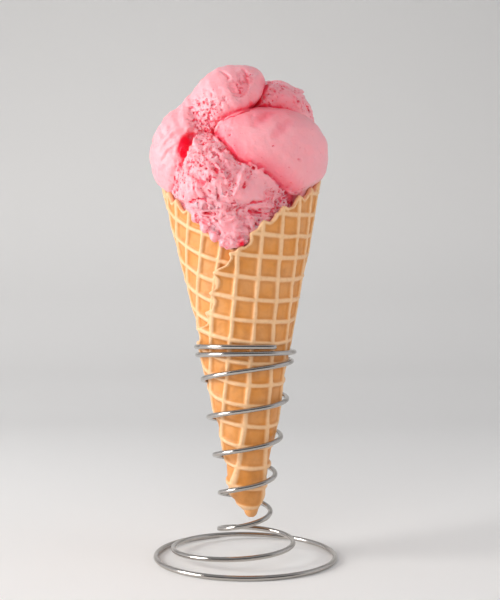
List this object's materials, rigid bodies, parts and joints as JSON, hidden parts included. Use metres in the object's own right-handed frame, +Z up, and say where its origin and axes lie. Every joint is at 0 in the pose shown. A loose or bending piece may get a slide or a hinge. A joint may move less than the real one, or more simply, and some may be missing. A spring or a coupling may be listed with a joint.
{
  "type": "ice cream cone",
  "caption": "Rolled waffle cone filled with pink scooped ice cream, standing in a coiled wire holder whose foot is an open ring.",
  "frame": {"origin": "middle of the whole object's footprint, on the surface that the wire foot rests on", "axes": "+Z up the cone, -Y the front where the sheet's two edges meet in a notch, +X to the right seen from the front"},
  "size_m": [0.0808, 0.079, 0.2107],
  "materials": {
    "wire": "polished stainless wire",
    "waffle": "baked, matte",
    "ice_cream": "frozen, soft sheen"
  },
  "bodies": {
    "root": {"holder": "wire", "cone": "waffle", "scoop_front": "ice_cream", "scoop_right": "ice_cream", "scoop_left": "ice_cream", "scoop_back": "ice_cream", "scoop_top": "ice_cream"}
  },
  "joints": []
}
